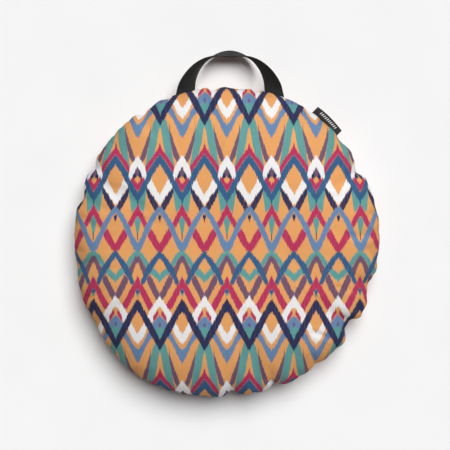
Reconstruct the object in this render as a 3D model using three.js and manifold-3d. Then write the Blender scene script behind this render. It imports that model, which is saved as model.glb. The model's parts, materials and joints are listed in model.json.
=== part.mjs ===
// A round floor cushion with a carry handle: a two-panel cover with a knife-edge seam, a zip across its
// underside, an inner bag of fibre, a webbing handle and a woven label that are both sewn into the edge seam.
//
// Millimetres, +Z up. The origin is the centre of the flat underside, where the cushion rests on the floor.
// The handle points along +Y. The zip runs along X.

import * as THREE from "three";
import { mergeVertices } from "three/addons/utils/BufferGeometryUtils.js";
import Module from "manifold-3d";

// ---------------------------------------------------------------- driving dimensions

const CUSHION_R = 260; // the edge seam's radius
const CUSHION_H = 112; // thickness at the crown
const SEAM_Z = 46; // height of the edge seam above the floor
const REST_R = 185; // radius of the flat part of the underside
const CROWN_POWER = 3; // how far out the crown stays full before it rolls down to the seam

const FABRIC_T = 1.5; // cover panel, with its facing
const BAG_T = 1; // inner bag
const BAG_RIM_INSET = 15; // room inside the edge seam for its allowance
const GAP = 0.3; // between pieces that touch

const STRAP_W = 30;
const STRAP_T = 1.6;
const LOOP_X = 8; // the loop's centre line is an ellipse round this point
const LOOP_Y = 235;
const LOOP_HALF_W = 76.5;
const LOOP_REACH = 89;
const STRAP_HINGE_Y = 258; // where the handle flexes, just outside the seam
const STRAP_FLOOR_GAP = 1; // the loop's lower edge rests this far above the floor
const STRAP_TURN = 120; // degrees that the webbing has turned over at the middle of the loop

const LABEL_LENGTH = 57;
const LABEL_W = 13; // how far it stands out of the seam
const LABEL_T = 1; // a folded tape, two layers
const LABEL_ANGLE = 50; // where it is sewn in, in degrees round from +X
const LABEL_FACING = 45; // which way it points, in degrees round from +X
const LABEL_HINGE_R = 262.5;

const TAIL_LENGTH = 45; // a sewn-in end, before it is trimmed inside the seam
const TAIL_TRIM_R = 247; // sewn-in ends stop here, short of the inner bag
const FLEX_GAP = 3; // from a sewn-in end to its hinge line, so that the loop can turn well past upright

const ZIP_Y = -70;
const ZIP_TAPE_HALF = 165;
const ZIP_CHANNEL_HALF = 156; // half the length of the opening between the panels' hems
const ZIP_COIL_HALF = 142;
const ZIP_CHANNEL_W = 16;
const ZIP_W = 36; // over both tapes
const TAPE_T = 0.6;
const COIL_W = 2.4;
const COIL_SPLIT = 1.6; // between the two coils, where the slider's divider runs

const SLIDER_LENGTH = 14;
const SLIDER_W = 9;
const SLIDER_X = 134; // closed
const PLATE_T = 0.7;
const PULL_T = 1.2;
const PULL_LENGTH = 20; // the channel has room for it at both ends of the slider's travel
const PULL_W = 6;
const EYE_R = 1.2; // round the pin, at the end of the pull
const PIN_R = 0.5;
const PIN_Z = 1.5;
const EAR_Y = 2; // from the slider's middle to the inside of each ear
const EAR_T = 0.8;
const EAR_DROP = 0.9; // below the pin's middle
const PULL_NECK = 4; // from the pin to where the tab starts to widen
const PULL_SHOULDER = 7; // from the pin to where the tab is at its full width
const OVERLAP = 0.1; // between the solids that are joined into one

const LATHE_SIDES = 48;

// Heights of the zip's layers, from the floor up.
const COIL_H = 1.8;
const LOWER_PLATE_Z = 2 * PIN_Z;
const COIL_Z = LOWER_PLATE_Z + PLATE_T + GAP;
const TAPE_Z = COIL_Z + (COIL_H - TAPE_T) / 2;
const UPPER_PLATE_Z = COIL_Z + COIL_H + GAP;
const BAG_BASE_Z = UPPER_PLATE_Z + PLATE_T + GAP;

// ---------------------------------------------------------------- materials

const fabric = (color, roughness = 0.9) => new THREE.MeshStandardMaterial({ color, roughness, metalness: 0 });
const PRINT = fabric(0xd9a066);
const LINER = fabric(0xe8e6e0);
const FIBRE = fabric(0xf4f3ef, 1);
const WEBBING = fabric(0x1b1b1b, 0.75);
const LABEL = fabric(0x222222, 0.6);
const TAPE = fabric(0x20242c, 0.85);
const COIL = new THREE.MeshStandardMaterial({ color: 0x1d2026, roughness: 0.45, metalness: 0 });
const METAL = new THREE.MeshStandardMaterial({ color: 0x8f9296, roughness: 0.35, metalness: 1 });

// ---------------------------------------------------------------- solids

const wasm = await Module();
wasm.setup();

// A closed geometry as a solid that can be joined and cut.
function solidOf(geometry) {
  const bare = geometry.clone();
  for (const name of Object.keys(bare.attributes)) {
    if (name !== "position") bare.deleteAttribute(name);
  }
  const merged = mergeVertices(bare, 1e-4);
  return new wasm.Manifold(
    new wasm.Mesh({
      numProp: 3,
      vertProperties: new Float32Array(merged.attributes.position.array),
      triVerts: new Uint32Array(merged.index.array),
    }),
  );
}

function geometryOf(solid) {
  const mesh = solid.getMesh();
  const geometry = new THREE.BufferGeometry();
  geometry.setAttribute("position", new THREE.BufferAttribute(mesh.vertProperties, 3));
  geometry.setIndex(new THREE.BufferAttribute(mesh.triVerts, 1));
  geometry.computeVertexNormals();
  return geometry;
}

// Two distances out from a middle line, on one side of it, as a low and a high coordinate.
function span(side, near, far) {
  return [side * near, side * far].sort((a, b) => a - b);
}

// A box from its lowest corner to its highest.
function box(low, high) {
  const size = high.map((value, k) => value - low[k]);
  const middle = high.map((value, k) => (value + low[k]) / 2);
  return new THREE.BoxGeometry(...size).translate(...middle);
}

const cushion = new THREE.Group();

function add(name, geometry, material, parent = cushion) {
  const mesh = new THREE.Mesh(geometry, material);
  mesh.name = name;
  parent.add(mesh);
  return mesh;
}

// ---------------------------------------------------------------- the cushion's section

// Height of the crown at a radius, for a skin that lies inside the cover by the given insets.
function crownZ(radius, { rim, top }) {
  const fall = 1 - (radius / (CUSHION_R - rim)) ** CROWN_POWER;
  return SEAM_Z + (CUSHION_H - top - SEAM_Z) * Math.sqrt(Math.max(0, fall));
}

// The crown from the axis to the seam. The last points crowd together where the section turns down.
function crownPoints(inset, count = 11) {
  return Array.from({ length: count }, (_, k) => {
    const radius = (CUSHION_R - inset.rim) * Math.sin((k / (count - 1)) * (Math.PI / 2));
    return new THREE.Vector2(radius, k === count - 1 ? SEAM_Z + GAP / 2 : crownZ(radius, inset));
  });
}

// The underside from the axis out: flat, then a quarter ellipse up to the seam.
function basePoints({ rim, base }, count = 8) {
  const reach = CUSHION_R - rim - REST_R;
  const rise = SEAM_Z - base;
  const turned = Array.from({ length: count }, (_, k) => {
    const angle = (k / (count - 1)) * (Math.PI / 2);
    const z = k === count - 1 ? SEAM_Z - GAP / 2 : SEAM_Z - rise * Math.cos(angle);
    return new THREE.Vector2(REST_R + reach * Math.sin(angle), z);
  });
  return [new THREE.Vector2(0, base), ...turned];
}

// Turns a section that starts and ends on the axis into a solid of revolution about Z.
function turned(section) {
  return new THREE.LatheGeometry(section, LATHE_SIDES).rotateX(Math.PI / 2);
}

const COVER = { rim: 0, top: 0, base: 0 };
const COVER_INSIDE = { rim: FABRIC_T, top: FABRIC_T, base: FABRIC_T };
const BAG = { rim: BAG_RIM_INSET, top: FABRIC_T + GAP, base: BAG_BASE_Z };
const BAG_INSIDE = { rim: BAG.rim + BAG_T, top: BAG.top + BAG_T, base: BAG.base + BAG_T };
const FILLING = { rim: BAG_INSIDE.rim + GAP, top: BAG_INSIDE.top + GAP, base: BAG_INSIDE.base + GAP };

const upperShell = (outside, inside) => turned([...crownPoints(inside), ...crownPoints(outside).reverse()]);
const lowerShell = (outside, inside) => turned([...basePoints(outside), ...basePoints(inside).reverse()]);

// ---------------------------------------------------------------- sewn-in ends and their slots

// Where each tape enters the seam. Its own frame has its origin at the hinge line, on the seam's plane,
// and its Y along the tape, outwards.
const loopStart = Math.asin((STRAP_HINGE_Y - LOOP_Y) / LOOP_REACH);
const rootX = LOOP_HALF_W * Math.cos(loopStart);
const strapLean = Math.atan2(LOOP_HALF_W * Math.sin(loopStart), LOOP_REACH * Math.cos(loopStart));
const labelPlace = THREE.MathUtils.degToRad(LABEL_ANGLE);
const STRAP_LEFT = {
  width: STRAP_W,
  thickness: STRAP_T,
  x: LOOP_X - rootX,
  y: STRAP_HINGE_Y,
  turn: -strapLean,
};
const STRAP_RIGHT = { ...STRAP_LEFT, x: LOOP_X + rootX, turn: strapLean };
const LABEL_ROOT = {
  width: LABEL_LENGTH,
  thickness: LABEL_T,
  x: LABEL_HINGE_R * Math.cos(labelPlace),
  y: LABEL_HINGE_R * Math.sin(labelPlace),
  turn: THREE.MathUtils.degToRad(LABEL_FACING - 90),
};

const atRoot = (geometry, root) => geometry.rotateZ(root.turn).translate(root.x, root.y, SEAM_Z);

// A tape's end held in the edge seam, trimmed along an arc inside it.
function tail(root) {
  const [across, thick] = [root.width / 2, root.thickness / 2];
  const whole = box([-across, -TAIL_LENGTH, -thick], [across, -FLEX_GAP, thick]);
  const inside = new THREE.CylinderGeometry(TAIL_TRIM_R, TAIL_TRIM_R, 2 * CUSHION_H, 4 * LATHE_SIDES);
  return geometryOf(solidOf(atRoot(whole, root)).subtract(solidOf(inside.rotateX(Math.PI / 2))));
}

// The room that a tail takes in the two panels.
function tailSlot(root) {
  const [across, thick] = [root.width / 2 + GAP, root.thickness / 2 + GAP];
  return solidOf(atRoot(box([-across, -TAIL_LENGTH, -thick], [across, 0, thick]), root));
}

const slots = () => [STRAP_LEFT, STRAP_RIGHT, LABEL_ROOT].map(tailSlot);

const cutAll = (solid, tools) => tools.reduce((left, tool) => left.subtract(tool), solid);

// ---------------------------------------------------------------- cover

function addCover() {
  add("top_panel", geometryOf(cutAll(solidOf(upperShell(COVER, COVER_INSIDE)), slots())), PRINT);

  const shell = cutAll(solidOf(lowerShell(COVER, COVER_INSIDE)), slots());
  const channel = ZIP_CHANNEL_W / 2;
  const hemTop = TAPE_Z - GAP;
  const far = CUSHION_R + 10;
  const opening = solidOf(
    box([-ZIP_CHANNEL_HALF, ZIP_Y - channel, -1], [ZIP_CHANNEL_HALF, ZIP_Y + channel, hemTop + 1]),
  );
  for (const [name, side] of [["rear", 1], ["front", -1]]) {
    const across = (near, out) => span(side, near, out).map((y) => y + ZIP_Y);
    const [nearY, farY] = across(GAP / 2, far * 2);
    const half = solidOf(box([-far, nearY, -1], [far, farY, CUSHION_H]));
    const [hemNear, hemFar] = across(channel, ZIP_W / 2);
    const hem = solidOf(box([-ZIP_TAPE_HALF, hemNear, FABRIC_T / 2], [ZIP_TAPE_HALF, hemFar, hemTop]));
    const panel = shell.intersect(half).subtract(opening).add(hem);
    add(`bottom_panel_${name}`, geometryOf(panel), PRINT);
  }
}

// ---------------------------------------------------------------- filling and its bag

function addFilling() {
  add("inner_bag_top", upperShell(BAG, BAG_INSIDE), LINER);
  add("inner_bag_bottom", lowerShell(BAG, BAG_INSIDE), LINER);
  add("fibre_filling", turned([...basePoints(FILLING), ...crownPoints(FILLING).reverse()]), FIBRE);
}

// ---------------------------------------------------------------- handle

// How far the webbing has turned over, in radians, at a distance from the middle of the loop
// that runs from 0 to 1. It lies flat in the seam at 1.
function strapTurn(distance) {
  const soft = 0.12;
  const eased = (Math.hypot(distance, soft) - soft) / (Math.hypot(1, soft) - soft);
  return THREE.MathUtils.degToRad(STRAP_TURN * (1 - 0.76 * eased - 0.24 * distance ** 10));
}

// The loop's centre line: part of an ellipse in plan, which dips from the seam to rest on the floor.
function strapPoint(share) {
  const angle = loopStart + share * (Math.PI - 2 * loopStart);
  const middleZ = STRAP_FLOOR_GAP + (STRAP_W / 2) * Math.sin(strapTurn(0)) + STRAP_T / 2;
  return new THREE.Vector3(
    LOOP_X - LOOP_HALF_W * Math.cos(angle),
    LOOP_Y + LOOP_REACH * Math.sin(angle),
    SEAM_Z - (SEAM_Z - middleZ) * Math.sin(share * Math.PI) ** 2,
  );
}

// Bends a flat box along the loop: its X becomes the length, its Y the webbing's width.
function addHandle() {
  const steps = 36;
  const ribbon = new THREE.BoxGeometry(1, STRAP_W, STRAP_T, steps, 1, 1);
  const position = ribbon.attributes.position;
  const up = new THREE.Vector3(0, 0, 1);
  const step = 1e-4;
  for (let k = 0; k < position.count; k += 1) {
    const share = position.getX(k) + 0.5;
    const from = strapPoint(Math.max(0, share - step));
    const along = strapPoint(Math.min(1, share + step)).sub(from).normalize();
    const level = new THREE.Vector3().crossVectors(up, along).normalize();
    const turn = strapTurn(Math.abs(2 * share - 1));
    const across = level.applyAxisAngle(along, turn);
    const outward = new THREE.Vector3().crossVectors(along, across);
    const point = strapPoint(share)
      .addScaledVector(across, position.getY(k))
      .addScaledVector(outward, position.getZ(k));
    position.setXYZ(k, point.x, point.y, point.z);
  }
  ribbon.computeVertexNormals();
  add("handle_strap", ribbon, WEBBING);
  add("handle_tail_left", tail(STRAP_LEFT), WEBBING);
  add("handle_tail_right", tail(STRAP_RIGHT), WEBBING);
}

// ---------------------------------------------------------------- label

function addLabel() {
  const flap = box([-LABEL_LENGTH / 2, 0, -LABEL_T / 2], [LABEL_LENGTH / 2, LABEL_W, LABEL_T / 2]);
  add("label_flap", atRoot(flap, LABEL_ROOT), LABEL);
  add("label_tail", tail(LABEL_ROOT), LABEL);
}

// ---------------------------------------------------------------- zip

function addZipHalves(zip) {
  for (const [name, side] of [["rear", 1], ["front", -1]]) {
    const coilNear = COIL_SPLIT / 2;
    const coilFar = coilNear + COIL_W;
    const [coilLow, coilHigh] = span(side, coilNear, coilFar);
    const [tapeLow, tapeHigh] = span(side, coilFar + GAP, ZIP_W / 2);
    const coil = box([-ZIP_COIL_HALF, coilLow, COIL_Z], [ZIP_COIL_HALF, coilHigh, COIL_Z + COIL_H]);
    const tape = box([-ZIP_TAPE_HALF, tapeLow, TAPE_Z], [ZIP_TAPE_HALF, tapeHigh, TAPE_Z + TAPE_T]);
    const stopX = ZIP_COIL_HALF + GAP;
    const stop = box([stopX, coilLow, COIL_Z], [stopX + 3, coilHigh, COIL_Z + COIL_H]);
    add(`zip_coil_${name}`, coil, COIL, zip);
    add(`zip_tape_${name}`, tape, TAPE, zip);
    add(`zip_top_stop_${name}`, stop, METAL, zip);
  }
  const reach = COIL_SPLIT / 2 + COIL_W;
  const startX = -ZIP_COIL_HALF - GAP;
  add("zip_bottom_stop", box([startX - 4, -reach, COIL_Z], [startX, reach, COIL_Z + COIL_H]), METAL, zip);
}

// Two plates joined by a divider, with two ears and a pin below them that carry the pull.
function sliderGeometry() {
  const halfLength = SLIDER_LENGTH / 2;
  const halfWidth = SLIDER_W / 2;
  const dividerHalf = COIL_SPLIT / 2 - GAP;
  const plate = (z) => box([-halfLength, -halfWidth, z], [halfLength, halfWidth, z + PLATE_T]);
  const divider = box(
    [-halfLength, -dividerHalf, LOWER_PLATE_Z + OVERLAP],
    [halfLength, dividerHalf, UPPER_PLATE_Z + OVERLAP],
  );
  const ears = [-1, 1].map((side) => {
    const [low, high] = span(side, EAR_Y, EAR_Y + EAR_T);
    return box([-EYE_R, low, PIN_Z - EAR_DROP], [EYE_R, high, LOWER_PLATE_Z + OVERLAP]);
  });
  const pin = new THREE.CylinderGeometry(PIN_R, PIN_R, 2 * EAR_Y + EAR_T, 12).translate(0, 0, PIN_Z);
  const pieces = [plate(UPPER_PLATE_Z), divider, ...ears, pin];
  const whole = pieces.reduce((sum, piece) => sum.add(solidOf(piece)), solidOf(plate(LOWER_PLATE_Z)));
  return geometryOf(whole);
}

// A flat tab with an eye round the pin. Its side view and its plan are cut into each other.
function pullGeometry() {
  const side = new THREE.Shape();
  side.moveTo(-PULL_LENGTH, -PULL_T / 2);
  side.lineTo(-EYE_R, -PULL_T / 2);
  side.absarc(0, 0, EYE_R, -Math.PI * 0.82, Math.PI * 0.82, false);
  side.lineTo(-PULL_LENGTH, PULL_T / 2);
  side.closePath();
  const hole = new THREE.Path();
  hole.absarc(0, 0, PIN_R + GAP, 0, Math.PI * 2, true);
  side.holes.push(hole);
  const deep = { depth: 8, bevelEnabled: false, curveSegments: 10 };
  const sideSolid = new THREE.ExtrudeGeometry(side, deep).translate(0, 0, -4).rotateX(Math.PI / 2);

  const neck = EAR_Y - GAP;
  const tab = PULL_W / 2;
  const plan = new THREE.Shape();
  plan.moveTo(2, -neck);
  plan.lineTo(2, neck);
  plan.lineTo(-PULL_NECK, neck);
  plan.lineTo(-PULL_SHOULDER, tab);
  plan.lineTo(-PULL_LENGTH + tab, tab);
  plan.absarc(-PULL_LENGTH + tab, 0, tab, Math.PI / 2, Math.PI * 1.5, false);
  plan.lineTo(-PULL_SHOULDER, -tab);
  plan.lineTo(-PULL_NECK, -neck);
  plan.closePath();
  const planSolid = new THREE.ExtrudeGeometry(plan, deep).translate(0, 0, -4);
  return geometryOf(solidOf(sideSolid).intersect(solidOf(planSolid)).translate([0, 0, PIN_Z]));
}

function addZip() {
  const zip = new THREE.Group();
  zip.position.y = ZIP_Y;
  cushion.add(zip);
  addZipHalves(zip);
  add("zip_slider", sliderGeometry(), METAL, zip).position.x = SLIDER_X;
  add("zip_pull", pullGeometry(), METAL, zip).position.x = SLIDER_X;
}

addCover();
addFilling();
addHandle();
addLabel();
addZip();

export default cushion;
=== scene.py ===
"""A round floor cushion in printed cotton, with a webbing handle and a woven label sewn into its edge seam.

Everything is in metres, in the CAD frame: +Z up, the underside on z = 0, the handle towards +Y.
The cover is one closed surface while it is shaped and simulated. It is cut into its panels afterwards.
"""

import json
import math

import bmesh
import bpy
import numpy as np
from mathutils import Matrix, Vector


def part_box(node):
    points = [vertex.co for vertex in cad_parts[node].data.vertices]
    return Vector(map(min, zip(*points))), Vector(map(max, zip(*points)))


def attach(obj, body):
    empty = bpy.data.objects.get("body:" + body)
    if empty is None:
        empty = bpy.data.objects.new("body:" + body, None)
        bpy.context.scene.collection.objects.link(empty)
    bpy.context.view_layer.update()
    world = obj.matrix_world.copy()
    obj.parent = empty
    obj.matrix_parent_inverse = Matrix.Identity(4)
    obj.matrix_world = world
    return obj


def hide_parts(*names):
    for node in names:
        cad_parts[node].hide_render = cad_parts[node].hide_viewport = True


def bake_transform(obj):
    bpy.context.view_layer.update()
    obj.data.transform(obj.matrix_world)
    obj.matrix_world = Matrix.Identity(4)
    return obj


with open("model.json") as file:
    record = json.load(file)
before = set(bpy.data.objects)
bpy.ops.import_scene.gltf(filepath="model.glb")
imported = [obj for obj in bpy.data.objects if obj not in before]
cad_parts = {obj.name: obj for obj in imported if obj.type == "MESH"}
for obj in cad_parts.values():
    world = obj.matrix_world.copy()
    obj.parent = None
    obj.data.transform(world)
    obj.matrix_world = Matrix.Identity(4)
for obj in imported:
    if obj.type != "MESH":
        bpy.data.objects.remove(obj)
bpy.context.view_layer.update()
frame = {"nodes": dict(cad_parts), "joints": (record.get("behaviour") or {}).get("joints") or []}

# ------ sizes, from the frame where it gives them

MM = 0.001

PANEL_LOW, PANEL_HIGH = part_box("top_panel")
CUSHION_R = PANEL_HIGH.x
CUSHION_H = PANEL_HIGH.z
SEAM_Z = round(PANEL_LOW.z, 3)
REST_R = 0.185  # radius of the flat part of the underside
FABRIC_T = 1.5 * MM
ON_SEAM = 1e-6  # a point nearer the seam than this, in metres of cloth, is on it
NEAR_MIDDLE = 0.05  # radii are taken as at least this where something is divided by them

TAPE_LOW, TAPE_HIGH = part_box("zip_tape_rear")
TAPE_FRONT_LOW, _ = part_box("zip_tape_front")
ZIP_Y = (TAPE_FRONT_LOW.y + TAPE_HIGH.y) / 2
SLIDER_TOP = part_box("zip_slider")[1].z

JOINTS = {joint["name"]: joint for joint in frame["joints"]}
HANDLE_HINGE_Y = JOINTS["handle_flex"]["pos_m"][1]
LABEL_HINGE = Vector(JOINTS["label_flex"]["pos_m"])
LABEL_ALONG = -Vector(JOINTS["label_flex"]["axis"]).normalized()
LABEL_OUT = Vector((LABEL_ALONG.y, -LABEL_ALONG.x, 0))

# ------ the cover's shape

SECTORS = 320
TOP_RINGS = 38
FLAT_RINGS = 9
SIDE_RINGS = 15
HALVED_WITHIN = (0.5, 0.24, 0.11)  # inside each of these shares of the radius, rings have half as many points
CENTRE_STEP = 0.005  # from the last ring to the middle
CROWN_POWER = 3  # how far out the crown stays full before it rolls down to the seam
SEAM_TUCK = 2.6 * MM  # how far the seam is drawn in
TUCK_REACH = 0.1  # the share of the rise over which that fades

# How far the edge stands out from the nominal radius, round the cushion: degrees and millimetres.
EDGE_SWELL = [
    (0, 4), (10, 3), (15, 6), (22, 3), (34, 1), (38, 4), (45, 5), (50, 6), (60, 7), (67, 9), (73, 7), (80, 5),
    (90, 4), (98, 5), (114, 6), (118, 4), (127, 6), (140, 3), (147, 1), (155, -1), (168, -2), (180, -3),
    (188, -5), (200, 1), (206, 0), (218, 2), (223, 7), (230, 10), (236, 11), (242, 12), (249, 7), (256, 7),
    (262, 2), (266, 3), (277, -1), (284, 0), (294, 2), (302, 1), (308, -1), (314, 3), (334, 2), (338, 1),
    (350, 0),
]
SWELL_BLUR = 5  # degrees each way

# The edge seam's puckers: degrees round from +X, depth, how far in they reach, the valley's width on the
# clockwise and on the other side, and how far they lean sideways by their inner end. Lengths in millimetres.
PUCKERS = [
    (93.8, 9, 34, 5, 6, 3), (85, 3, 30, 8, 7, -4), (78.5, 4, 30, 6, 5, -3), (57.8, 4, 24, 5, 5, 2),
    (41.8, 5, 40, 9, 9, 5), (28.3, 11, 56, 7, 13, -4), (12, 2, 20, 6, 6, 2), (-5.5, 4, 28, 8, 6, -3),
    (-16.5, 11, 66, 13, 12, 6), (-20, 4, 44, 6, 6, 3), (-31.8, 18, 80, 12, 6, -7), (-35.6, 12, 52, 9, 6, 3),
    (-53.4, 6, 48, 7, 7, 4), (-70.5, 9, 64, 10, 9, -5), (-87.6, 15, 56, 7, 9, 4), (-98.1, 4, 34, 6, 6, -3),
    (-114, 4, 30, 6, 6, 4), (-132.7, 3, 38, 8, 8, -4), (-148.5, 6, 36, 12, 9, 3), (-170.5, 4, 28, 10, 8, -2),
    (163.3, 10, 48, 12, 7, -4), (149.6, 9, 40, 6, 7, 3), (136, 2, 24, 5, 5, -2), (122.6, 11, 44, 14, 5, 4),
    (112, 4, 26, 5, 5, -2), (-102.3, 3, 26, 5, 5, -3), (-109, 3, 24, 4, 5, 2), (-118.5, 3, 24, 5, 4, -2),
    (-124.1, 3, 26, 5, 4, 3), (-129.3, 3, 24, 4, 5, -2), (-136.5, 3, 22, 4, 5, 2), (-152.7, 3, 22, 5, 5, 2),
]

PUCKER_FLARE = 0.5  # how much wider a pucker is at its inner end
PUCKER_FADE = 1.5  # the power with which it fades out inwards
ROLL = 0.16  # the height of the soft roll beside a pucker, as a share of its depth
ROLL_AT = 2.4  # how many widths away that roll is

# The fine gathers at the seam.
GATHERS = 131
GATHER_DEPTH = 1.5 * MM
GATHER_FADE = 0.009

# The seam's own rise and fall: waves round the edge, height in millimetres and phase.
SEAM_WAVES = [(3, 1.6, 0.7), (7, 1.2, 2.1), (13, 0.7, 0)]

# Where the handle's ends and the label enter the seam, in degrees. The seam keeps level there.
SEWN_IN = (104.5, 71.5, 50)
LEVEL_REACH = 9  # degrees each way

# Creases on the crown's face: both ends' x and y, depth and half width, in millimetres.
CREASES = [
    (146, -147, 172, -157, 3.4, 3.0),
    (66, -226, 84, -238, 2.6, 3.0),
    (184, -72, 214, -80, 1.8, 3.6),
    (-58, 214, -50, 196, 1.4, 3.4),
    (-206, -92, -190, -88, 1.2, 4.0),
]
CREASE_ROLL = 0.35  # the soft roll beside a crease, as a share of its depth
CREASE_ROLL_AT = 2.3  # half widths away

# The filling's lumps: height in millimetres, wavelength in metres and the seed of their draw.
LUMPS = [(2.4, 0.21, 3), (0.9, 0.075, 8)]
LUMPS_FROM_SEAM = 0.05
LUMPS_BELOW = 0.3  # how much of them shows under the seam
SHARPENED = 0.22  # how much of the puckers' depth is added once the cloth has settled


def edge_radius(angle):
    """The edge's radius before the puckers, at angles in radians."""
    degrees = np.array([d for d, _ in EDGE_SWELL] + [360], float)
    swell = np.array([s for _, s in EDGE_SWELL] + [EDGE_SWELL[0][1]], float)
    around = np.degrees(angle) % 360
    shifts = (0, -SWELL_BLUR, SWELL_BLUR)
    smooth = sum(np.interp((around + shift) % 360, degrees, swell) for shift in shifts)
    return CUSHION_R + smooth / len(shifts) * MM


def unevenness(x, y, wavelength, seed):
    """Soft lumps from -1 to 1: a few waves that cross each other."""
    random = np.random.default_rng(seed)
    total = np.zeros_like(x)
    count = 7
    for direction in random.uniform(0, math.pi, count):
        length = wavelength * random.uniform(0.7, 1.4)
        phase = random.uniform(0, 2 * math.pi)
        total += np.sin((x * math.cos(direction) + y * math.sin(direction)) * 2 * math.pi / length + phase)
    return total / math.sqrt(count) / 1.6


def ring_of(count):
    """Evenly spaced angles round a ring."""
    return np.arange(count) * 2 * math.pi / count


def sectors_at(share):
    """How many vertices a ring has at a share of the full radius. Inner rings have fewer."""
    halvings = sum(share < limit for limit in HALVED_WITHIN)
    return SECTORS // 2 ** halvings


def top_section():
    """(share of the radius, share of the rise) from the seam to just short of the centre."""
    turns = [math.pi / 2 * (1 - k / TOP_RINGS) for k in range(TOP_RINGS)]
    return [(math.sin(t), math.sqrt(max(0.0, 1 - math.sin(t) ** CROWN_POWER))) for t in turns]


def base_section():
    """The same for the underside, where the second share runs from the seam down to the floor."""
    flat = REST_R / CUSHION_R
    side = [math.pi / 2 * (1 - k / SIDE_RINGS) for k in range(SIDE_RINGS)]
    curved = [(flat + (1 - flat) * math.sin(t), math.cos(t)) for t in side]
    level = [(flat * (1 - k / FLAT_RINGS), 1.0) for k in range(FLAT_RINGS)]
    return curved + level


def edge_wave(angle):
    """The seam's own rise and fall."""
    rise = sum(height * np.sin(waves * angle + phase) for waves, height, phase in SEAM_WAVES)
    level = np.zeros_like(angle)
    for degrees in SEWN_IN:
        apart = (np.degrees(angle) - degrees + 180) % 360 - 180
        level = np.maximum(level, np.exp(-((apart / LEVEL_REACH) ** 4)))
    return rise * (1 - level) * MM


def skin_point(angle, share, rise, top):
    """Points of the plain cushion, before its puckers."""
    tuck = SEAM_TUCK * math.exp(-rise / TUCK_REACH)
    radius = edge_radius(angle) * share - tuck * share
    height = (CUSHION_H - SEAM_Z) * rise if top else -SEAM_Z * rise
    z = SEAM_Z + height + edge_wave(angle) * (1 - rise) ** 2
    return np.stack([radius * np.cos(angle), radius * np.sin(angle), z], 1)


class Skin:
    """The closed cover: rings of points from the seam up to the crown, and from it down to the base."""

    def __init__(self):
        self.points = []
        self.faces = []
        self.is_top = []
        self.from_seam = []
        self.rings = []
        self.seam = ring_of(SECTORS)
        first = self.add_ring(self.seam, 1.0, 0.0, True, 0.0)
        for top, section in ((True, top_section()), (False, base_section())):
            self.add_side(first, top, section)

    def add_ring(self, angles, share, rise, top, distance):
        start = sum(len(p) for p in self.points)
        self.points.append(skin_point(angles, share, rise, top))
        self.from_seam.append(np.full(len(angles), distance))
        self.rings.append((start, len(angles)))
        return start

    def add_side(self, first, top, section):
        height = (CUSHION_H - SEAM_Z) if top else SEAM_Z
        distance = 0.0
        outer, outer_count = first, SECTORS
        for (was, rose), (share, rise) in zip(section, section[1:]):
            distance += math.hypot((was - share) * CUSHION_R, (rise - rose) * height)
            count = sectors_at(share)
            inner = self.add_ring(ring_of(count), share, rise, top, distance)
            self.join(outer, outer_count, inner, count, top)
            outer, outer_count = inner, count
        z = CUSHION_H if top else 0.0
        centre = sum(len(p) for p in self.points)
        self.points.append(np.array([[0.0, 0.0, z]]))
        self.from_seam.append(np.array([distance + CENTRE_STEP]))
        self.rings.append((centre, 1))
        for j in range(outer_count):
            self.add_face([outer + j, outer + (j + 1) % outer_count, centre], top)

    def join(self, outer, outer_count, inner, count, top):
        step = outer_count // count
        for j in range(count):
            rim = [outer + (j * step + k) % outer_count for k in range(step + 1)]
            self.add_face(rim + [inner + (j + 1) % count, inner + j], top)

    def add_face(self, corners, top):
        self.faces.append(corners if top else corners[::-1])
        self.is_top.append(top)

    def side(self, top):
        """The faces above the seam, or the ones below it."""
        return [face for face, is_top in zip(self.faces, self.is_top) if is_top == top]

    def finish(self):
        self.points = np.concatenate(self.points)
        self.from_seam = np.concatenate(self.from_seam)
        self.is_top = np.array(self.is_top)


def add_object(name, data):
    made = bpy.data.objects.new(name, data)
    bpy.context.scene.collection.objects.link(made)
    return made


def mesh_object(name, points, faces):
    mesh = bpy.data.meshes.new(name)
    mesh.from_pydata(np.asarray(points).tolist(), [], [list(f) for f in faces])
    mesh.update()
    return add_object(name, mesh)


def vectors(items, name):
    found = np.zeros(len(items) * 3, np.float32)
    items.foreach_get(name, found)
    return found.reshape(-1, 3).astype(float)


def positions(mesh):
    return vectors(mesh.vertices, "co")


def normals(mesh):
    return vectors(mesh.vertex_normals, "vector")


def set_positions(mesh, points):
    mesh.vertices.foreach_set("co", np.asarray(points, np.float32).ravel())
    mesh.update()


def pucker_depth(points, from_seam):
    """How far the puckers and fine gathers pull each point in."""
    angle = np.arctan2(points[:, 1], points[:, 0])
    depth = np.zeros(len(points))
    for degrees, deep, reach, clockwise, other, lean in PUCKERS:
        inward = np.clip(from_seam / (reach * MM), 0, 1)
        middle = math.radians(degrees) + lean * MM / CUSHION_R * inward
        apart = (angle - middle + math.pi) % (2 * math.pi) - math.pi
        width = np.where(apart < 0, clockwise, other) * MM * (1 + PUCKER_FLARE * inward)
        aside = np.abs(apart) * CUSHION_R / width
        valley = np.exp(-aside) - ROLL * np.exp(-((aside - ROLL_AT) ** 2))
        depth += deep * MM * valley * (1 - inward) ** PUCKER_FADE
    gathers = 0.5 + 0.5 * np.sin(angle * GATHERS + 2.2 * np.sin(angle * 9) + 1.4 * np.sin(angle * 23))
    strength = 0.6 + 0.4 * np.sin(angle * 5 + 1)
    depth += GATHER_DEPTH * gathers ** 2 * strength * np.exp(-from_seam / GATHER_FADE)
    return depth


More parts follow.
